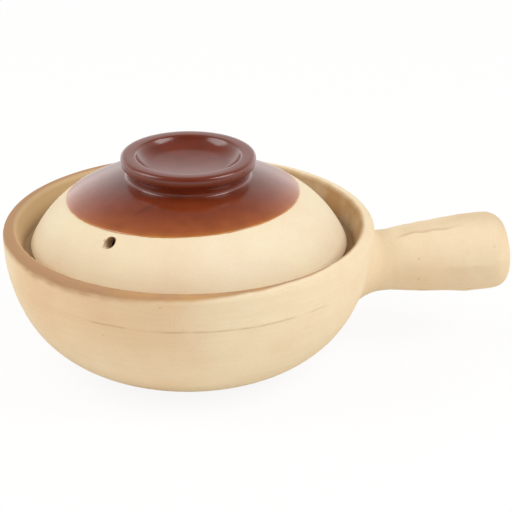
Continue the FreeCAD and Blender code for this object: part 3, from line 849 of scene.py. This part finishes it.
# %% Handle
ROOT_WIDTH_ABOVE = 2.0
ROOT_WIDTH_BELOW = 12.0
ROOT_REACH_ABOVE = 5.0
ROOT_REACH_BELOW = 14.0
ROOT_SINK = 0.35
END_SLANT = 0.03
SLANT_START = (45.0, 60.0)
MARKED_RADIUS = 16.0


def bowl_along(height_up, sideways):
    """How far along the handle's axis the bowl's face lies, for a line beside the axis, in mm."""
    low, high = -60.0, 20.0
    for _ in range(30):
        middle = (low + high) / 2
        point = neck_point + along * middle + upward * height_up + across * sideways
        inside = math.hypot(point.x, point.y) < bowl_radius(point.z)
        low, high = (middle, high) if inside else (low, middle)
    return (low + high) / 2


def root_flare(ring, radius, up, aside):
    """The radius and the length of a root ring: a hollow curve from the neck out to the bowl's face."""
    down = (1 - up) / 2
    width = ROOT_WIDTH_ABOVE + (ROOT_WIDTH_BELOW - ROOT_WIDTH_ABOVE) * down
    reach = ROOT_REACH_ABOVE + (ROOT_REACH_BELOW - ROOT_REACH_ABOVE) * down
    turn = math.radians(90) * smooth_between(ring, 0.15, 1.0)
    radius += width * (1 - math.cos(turn))
    face = bowl_along(radius * up, radius * aside)
    fillet = face + reach * (1 - math.sin(turn)) - ROOT_SINK * smooth_between(ring, 0.8, 1.0)
    return radius, fillet * smooth_between(ring, 0.0, 0.3)


def lay_handle(piece):
    """Moves each point from the wheel's upright axis to the handle's axis, with its marks and root."""
    painted_shades = []
    for vertex in piece.data.vertices:
        point = vertex.co / MM
        radius = math.hypot(point.x, point.y)
        angle = math.atan2(point.y, point.x)
        length = point.z
        up, aside = math.cos(angle), math.sin(angle)
        brown = 0.0
        if radius > BORE_RADIUS + BORE_MOUTH:
            pressed, brown = handle_marks(radius, length, -math.degrees(angle))
            share = smooth_between(radius, BORE_RADIUS + BORE_MOUTH, MARKED_RADIUS)
            radius += (pressed - radius) * share
        painted_shades.append(brown)
        if point.z < -0.5:
            radius, length = root_flare(-point.z / ROOT_RINGS, radius, up, aside)
        length -= END_SLANT * radius * up * smooth_between(length, *SLANT_START)
        vertex.co = (neck_point + along * length + upward * radius * up + across * radius * aside) * MM
    write_painted_shade(piece, painted_shades)


handle = turn_piece("handle", [(radius, length) for length, radius in handle_outline()], steps=200)
lay_handle(handle)
finish_piece(handle, handle_clay, "pot", "clay", "pot_handle")

# %% [markdown]
# The lid is thrown upside down and turned: crown, shoulder and skirt are three arcs that run on from
# one another, over an even wall. A position on it is given by its length along that curve and its
# offset from it, so that the clay and the glaze can share it.

# %% Section of the lid
# An arc is its radius, and the slopes in degrees at which it starts and ends. The rim ends the skirt.
PAD_RADIUS = 34.0
PAD_HEIGHT = 103.3
CROWN = (108.0, 13.0, 26.5)
SHOULDER = (58.0, 26.5, 64.0)
SKIRT = (24.0, 64.0)
LID_WALL = 6.0
LID_OUTER_ROUNDING = 2.6
LID_INNER_ROUNDING = 0.8


def lid_centres():
    """The centres of the crown, shoulder and skirt arcs."""
    top = math.radians(CROWN[1])
    crown = (PAD_RADIUS - CROWN[0] * math.sin(top), PAD_HEIGHT - CROWN[0] * math.cos(top))
    bend = math.radians(CROWN[2])
    step = CROWN[0] - SHOULDER[0]
    shoulder = (crown[0] + step * math.sin(bend), crown[1] + step * math.cos(bend))
    hip = math.radians(SHOULDER[2])
    step = SHOULDER[0] - SKIRT[0]
    skirt = (shoulder[0] + step * math.sin(hip), shoulder[1] + step * math.cos(hip))
    return crown, shoulder, skirt


crown_centre, shoulder_centre, skirt_centre = lid_centres()
crown_length = CROWN[0] * math.radians(CROWN[2] - CROWN[1])


def lid_face(offset, end_height):
    """The lid's curve from the crown down to a height, an offset outside the clay's own face."""
    skirt = SKIRT[0] + offset
    low = slope_at(skirt_centre, skirt, end_height)
    face = arc_points(crown_centre, CROWN[0] + offset, 90 - CROWN[1], 90 - CROWN[2])
    face += arc_points(shoulder_centre, SHOULDER[0] + offset, 90 - SHOULDER[1], 90 - SHOULDER[2])[1:]
    return face + arc_points(skirt_centre, skirt, 90 - SKIRT[1], low)[1:]


def lid_outline():
    """The lid's section: the crown inside, down to the flat rim, and up the outside."""
    inner = lid_face(-LID_WALL, SEAT_HEIGHT)
    outer = lid_face(0.0, SEAT_HEIGHT)[::-1]
    outer_edge = rounded(inner[-1], outer[0], outer[2], LID_OUTER_ROUNDING)
    inner_edge = rounded(inner[-3], inner[-1], outer[0], LID_INNER_ROUNDING)
    outer = [point for point in outer if point[1] > outer_edge[-1][1]]
    return (
        [(0.0, inner[0][1])] + line_points((0.0, inner[0][1]), inner[0], COARSE) + inner[:-1]
        + inner_edge + outer_edge + outer + line_points(outer[-1], (0.0, PAD_HEIGHT), COARSE)
        + [(0.0, PAD_HEIGHT)]
    )


# %% [markdown]
# The steam vent is a slanting hole, pushed through the soft clay with a round stick. Its edge isn't
# quite even and has one nick, and the clay inside it is darkened with painted shade. A boolean
# modifier cuts it, with a turned stick as the cutter.

# %% Vent and lid
VENT_RADIUS = 3.2
VENT_DISTANCE = 68.3
VENT_HEIGHT = 88.1
VENT_AZIMUTH = 226.3
VENT_RISE = math.radians(21.0)
STICK_REACH = 15
UNEVEN = 0.12
UNEVEN_SIZE = 1.7
NICK_SIDE = math.radians(75.0)
NICK_WIDTH = 0.22
NICK_DEPTH = 0.7
vent_out = level_direction(VENT_AZIMUTH)
vent_way = vent_out * math.cos(VENT_RISE) + Vector((0, 0, math.sin(VENT_RISE)))
vent_middle = vent_out * VENT_DISTANCE + Vector((0, 0, VENT_HEIGHT))


def pierce(piece):
    """Cuts the steam vent with a round stick that wasn't quite even, and that nicked the edge."""
    heights = range(-STICK_REACH, STICK_REACH + 1)
    outline = [(VENT_RADIUS, height) for height in heights]
    stick = turn_piece("stick", [(0.0, -STICK_REACH)] + outline + [(0.0, STICK_REACH)], steps=48)
    turned = vent_way.to_track_quat("Z", "Y")
    for vertex in stick.data.vertices:
        point = vertex.co / MM
        nick = math.exp(-((math.atan2(point.y, point.x) - NICK_SIDE) / NICK_WIDTH) ** 2)
        uneven = UNEVEN * noise.noise(point / UNEVEN_SIZE)
        uneven += NICK_DEPTH * nick * smooth_between(point.z, 0.0, 2.5)
        flat = Vector((point.x, point.y, 0.0)).normalized()
        vertex.co = (turned @ (point + flat * uneven) + vent_middle) * MM
    deselect_all()
    bpy.context.view_layer.objects.active = piece
    cut = piece.modifiers.new("vent", "BOOLEAN")
    cut.object = stick
    bpy.ops.object.modifier_apply(modifier=cut.name)
    bpy.data.objects.remove(stick)


def vent_shade(point):
    """Painted shade darkens the inside of the vent, up to its edge."""
    across_it = (point - vent_middle).cross(vent_way).length
    on_the_wall = (point - vent_middle).dot(vent_out) > -20.0
    return 0.75 if on_the_wall and across_it < VENT_RADIUS + 0.05 else 0.0


lid = turn_piece("lid", lid_outline(), steps=256)
pierce(lid)
paint_shade(lid, vent_shade)
finish_piece(lid, lid_clay, "lid", "clay", "lid_dome")

# %% [markdown]
# The knob is a ring foot turned upside down: a cove under the lip, and a dish inside. The glaze
# covers it and the crown, so it is the glaze that shows. It follows the knob's chain of arcs and the
# lid's crown, 0.4 mm outside the clay, and stops in a rounded edge.

# %% Section of the glaze
# The knob's arcs run from the lid up and in to the dish. Each is its radius, how far it turns in
# degrees, and 1 for a turn to the left or -1 for one to the right.
COAT = 0.4
KNOB_SPACING = 0.7
KNOB_BENDS = [
    (1.9, 75.0, -1), (6.5, 54.0, -1), (1.2, 40.0, 1), (14.0, 12.0, 1), (1.5, 85.0, 1),
    (30.0, 10.0, 1), (1.2, 50.0, 1), (12.0, 48.0, -1),
]


def knob_face(offset):
    """The knob's face from the lid up, over the lip and in to the axis, an offset outside the clay."""
    heading = math.radians(180.0 - CROWN[1])
    x, y = PAD_RADIUS, PAD_HEIGHT
    face = []

    def bend(radius, sweep, side):
        nonlocal x, y, heading
        centre = (x - radius * side * math.sin(heading), y + radius * side * math.cos(heading))
        reach = radius * side + offset
        steps = max(4, round(math.radians(sweep) * radius / KNOB_SPACING))
        for step in range(1, steps + 1):
            turned = heading + math.radians(sweep) * side * step / steps
            face.append((centre[0] + reach * math.sin(turned), centre[1] - reach * math.cos(turned)))
        heading += math.radians(sweep) * side
        x = centre[0] + radius * side * math.sin(heading)
        y = centre[1] - radius * side * math.cos(heading)

    for radius, sweep, side in KNOB_BENDS:
        bend(radius, sweep, side)
    slope = heading - math.pi
    bend(x / math.sin(slope), math.degrees(slope), -1)
    face[-1] = (0.0, face[-1][1])
    return face


def crown_face(offset, length):
    """A point of the crown and shoulder at a length along the clay's curve, from the knob."""
    if length < crown_length:
        centre, radius = crown_centre, CROWN[0]
        slope = math.radians(CROWN[1]) + length / CROWN[0]
    else:
        centre, radius = shoulder_centre, SHOULDER[0]
        slope = math.radians(CROWN[2]) + (length - crown_length) / SHOULDER[0]
    return (centre[0] + (radius + offset) * math.sin(slope), centre[1] + (radius + offset) * math.cos(slope))


# %% [markdown]
# The coat is spun with a level edge first. Then its lower rings slide along the crown, until the edge
# lies on the leaning, wavering line where the glaze stopped.

# %% Glaze over the knob and the crown
EDGE_START = 30.0
EDGE_WAVER = ((0.35, 5.0), (0.2, 17.0))
COAT_RINGS = 24
SLIDE_START = 6.0
coat_lengths = [EDGE_START * step / COAT_RINGS for step in range(COAT_RINGS + 1)]
coat_edge = [
    (EDGE_START - COAT + COAT * math.sin(math.radians(turn)), COAT * math.cos(math.radians(turn)))
    for turn in (0, 30, 60, 90)
]


def glaze_edge_length(azimuth):
    """How far down the curve the glaze reaches at an azimuth: a leaning line that wavers a little."""
    low, high = 0.0, 50.0
    direction = Vector((math.cos(azimuth), math.sin(azimuth), 0.0))
    for _ in range(24):
        middle = (low + high) / 2
        radius, height = crown_face(COAT, middle)
        over = (direction * radius + Vector((0, 0, height))).dot(glaze_normal)
        low, high = (middle, high) if over > GLAZE_HEIGHT * math.cos(GLAZE_LEAN) else (low, middle)
    return low + sum(depth * noise.noise(direction * rate) for depth, rate in EDGE_WAVER)


def coat_outline():
    """The coat's section: the knob and the crown outside, the rounded edge, and back along the clay."""
    outer = knob_face(COAT)[::-1] + [crown_face(COAT, length) for length in coat_lengths[:-1]]
    edge = [crown_face(offset, length) for length, offset in coat_edge]
    inner = [crown_face(0.0, length) for length in coat_lengths[-2::-1]] + knob_face(0.0)
    return outer + edge + inner


def run_to_edge(piece):
    """Slides the lower rings of the coat along the crown until its edge lies on the wavering line."""
    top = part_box("lid_glaze")[1].z
    for vertex in piece.data.vertices:
        vertex.co.z = min(vertex.co.z, top)
        point = vertex.co / MM
        radius, height = math.hypot(point.x, point.y), point.z
        if radius < PAD_RADIUS + 2 or height > PAD_HEIGHT + 0.3:
            continue
        slope = math.atan2(radius - crown_centre[0], height - crown_centre[1])
        offset = math.dist((radius, height), crown_centre) - CROWN[0]
        length = (slope - math.radians(CROWN[1])) * CROWN[0]
        if length > crown_length:
            slope = math.atan2(radius - shoulder_centre[0], height - shoulder_centre[1])
            offset = math.dist((radius, height), shoulder_centre) - SHOULDER[0]
            length = crown_length + (slope - math.radians(CROWN[2])) * SHOULDER[0]
        azimuth = math.atan2(point.y, point.x)
        shift = glaze_edge_length(azimuth) - EDGE_START
        length += shift * smooth_between(length, SLIDE_START, EDGE_START - 1.0)
        radius, height = crown_face(offset, length)
        vertex.co = Vector((radius * math.cos(azimuth), radius * math.sin(azimuth), height)) * MM


coat = turn_piece("lid_coat", coat_outline(), steps=256)
run_to_edge(coat)
finish_piece(coat, lid_glaze, "lid", "brown_glaze", "lid_glaze")

# %% [markdown]
# The knob's clay and the two linings keep their solids: the knob is hidden under its glaze, and the
# linings are even coats inside.

# %% Materials for the solids that stay
for node_name, material in (
    ("lid_knob", lid_clay), ("bowl_glaze_lining", lining_glaze), ("lid_glaze_lining", lining_glaze),
):
    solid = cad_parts[node_name]
    solid.data.materials.clear()
    solid.data.materials.append(material)
    print(f"{node_name}: {material.name}")

# %% [markdown]
# The studio has a pale floor, a white surround and two large soft lamps. To the camera the floor is a
# mix of nine parts plain white and one part matt, and the matt part keeps the pot's soft shadow. In
# the glossy glaze the floor grows dim towards the front of the room.

# %% Floor
# The drop, in millimetres, keeps the floor just under the foot. The other lengths are in metres.
FLOOR_SIZE = 12.0
FLOOR_DROP = 0.2
FLOOR_WHITE = 0.9
TABLE_EDGE = 0.35
ROOM_START = 0.9
ROOM_LEVEL = 0.2
room_front = level_direction(270.0 - math.degrees(CAMERA_TURN))

deselect_all()
bpy.ops.mesh.primitive_plane_add(size=FLOOR_SIZE, location=(0, 0, -FLOOR_DROP * MM))
floor = bpy.context.object
floor.name = "studio_floor"
floor_material, tree = new_material("pale_floor")
path = add_node(tree, "LightPath")
seen = add_node(tree, "Math", {
    0: path.outputs["Is Camera Ray"], 1: path.outputs["Is Glossy Ray"],
}, operation="ADD")
seen = add_node(tree, "Math", {
    0: seen.outputs["Value"], 1: path.outputs["Is Transmission Ray"],
}, operation="ADD", use_clamp=True)
share = add_node(tree, "Math", {0: seen.outputs["Value"], 1: FLOOR_WHITE}, operation="MULTIPLY")
spot = add_node(tree, "TexCoord")
forward = add_node(tree, "VectorMath", {0: spot.outputs["Object"], 1: room_front}, operation="DOT_PRODUCT")
room = add_node(tree, "MapRange", {
    "Value": forward.outputs["Value"], "From Min": TABLE_EDGE, "From Max": ROOM_START,
    "To Min": 1.0, "To Max": ROOM_LEVEL,
})
strength = add_node(tree, "MapRange", {
    "Value": path.outputs["Is Glossy Ray"], "To Min": 1.0, "To Max": room.outputs["Result"],
})
matt = add_node(tree, "BsdfDiffuse", {"Color": linear("#f6f4f0")})
white = add_node(tree, "Emission", {"Color": linear("#ffffff"), "Strength": strength.outputs["Result"]})
mixed = add_node(tree, "MixShader", {
    0: share.outputs["Value"], 1: matt.outputs["BSDF"], 2: white.outputs["Emission"],
})
add_node(tree, "OutputMaterial", {"Surface": mixed.outputs["Shader"]})
floor.data.materials.append(floor_material)
print(f"{floor.name}: {FLOOR_SIZE:.0f} m across")

# %% [markdown]
# The camera sees the surround as plain white, and it lights the matt clay evenly. In the
# glossy glaze it is a room: white screens at the sides are the brightest, and the ceiling and the
# front are dim, which leaves the dark gap between the two lamps' highlights.

# %% Surround
SURROUND_LIGHT = 0.66
HORIZON = 1.35
CEILING = 0.25
FRONT = 0.15
SIDE_SCREENS = 1.35
world = bpy.data.worlds.new("white_surround")
bpy.context.scene.world = world
world.use_nodes = True
tree = world.node_tree
tree.nodes.clear()
path = add_node(tree, "LightPath")
shown = add_node(tree, "Math", {
    0: path.outputs["Is Camera Ray"], 1: path.outputs["Is Transmission Ray"],
}, operation="ADD", use_clamp=True)
sky = add_node(tree, "TexCoord")
rise = add_node(tree, "SeparateXYZ", {"Vector": sky.outputs["Generated"]})
ceiling = add_node(tree, "MapRange", {
    "Value": rise.outputs["Z"], "From Min": 0.12, "From Max": 0.75,
    "To Min": HORIZON, "To Max": CEILING,
})
facing = add_node(tree, "VectorMath", {0: sky.outputs["Generated"], 1: room_front}, operation="DOT_PRODUCT")
front = add_node(tree, "MapRange", {
    "Value": facing.outputs["Value"], "From Min": 0.1, "From Max": 0.75, "To Min": 1.0, "To Max": FRONT,
}, interpolation_type="SMOOTHSTEP")
sideways = add_node(tree, "VectorMath", {0: sky.outputs["Generated"], 1: side}, operation="DOT_PRODUCT")
aside = add_node(tree, "Math", {0: sideways.outputs["Value"]}, operation="ABSOLUTE")
screens = add_node(tree, "MapRange", {
    "Value": aside.outputs["Value"], "From Min": 0.12, "From Max": 0.35,
    "To Min": 1.0, "To Max": SIDE_SCREENS,
}, interpolation_type="SMOOTHSTEP")
mirrored = add_node(tree, "Math", {
    0: ceiling.outputs["Result"], 1: front.outputs["Result"],
}, operation="MULTIPLY")
mirrored = add_node(tree, "Math", {
    0: mirrored.outputs["Value"], 1: screens.outputs["Result"],
}, operation="MULTIPLY")
level = add_node(tree, "MapRange", {
    "Value": path.outputs["Is Glossy Ray"], "To Min": SURROUND_LIGHT, "To Max": mirrored.outputs["Value"],
})
level = add_node(tree, "MapRange", {
    "Value": shown.outputs["Value"], "To Min": level.outputs["Result"], "To Max": 1.0,
})
surround = add_node(tree, "Background", {"Color": linear("#ffffff"), "Strength": level.outputs["Result"]})
add_node(tree, "OutputWorld", {"Surface": surround.outputs["Background"]})
print(f"surround lights matt surfaces at {SURROUND_LIGHT}")

# %% [markdown]
# One square soft lamp stands at the right, towards the front, and a weaker one at the left.

# %% Lamps
LAMP_DISTANCE = 1.6
LAMP_SIZE = 0.9
LAMP_RISE = math.radians(42.0)
LAMP_TARGET = Vector((30.0, 0.0, 50.0)) * MM


def add_lamp(name, azimuth, power):
    """A square soft lamp that looks at the pot. Azimuth 0 is the front, 90 the handle's side."""
    turn = math.radians(azimuth - 90.0)
    level = math.cos(LAMP_RISE)
    direction = Vector((math.cos(turn) * level, math.sin(turn) * level, math.sin(LAMP_RISE)))
    bpy.ops.object.light_add(
        type="AREA", location=LAMP_TARGET + direction * LAMP_DISTANCE,
        rotation=(-direction).to_track_quat("-Z", "Y").to_euler(),
    )
    lamp = bpy.context.object
    lamp.name = name
    lamp.data.size = LAMP_SIZE
    lamp.data.energy = power
    print(f"{name}: {power} W")


add_lamp("right_lamp", 62.0, 11.2)
add_lamp("left_lamp", -92.0, 9.0)
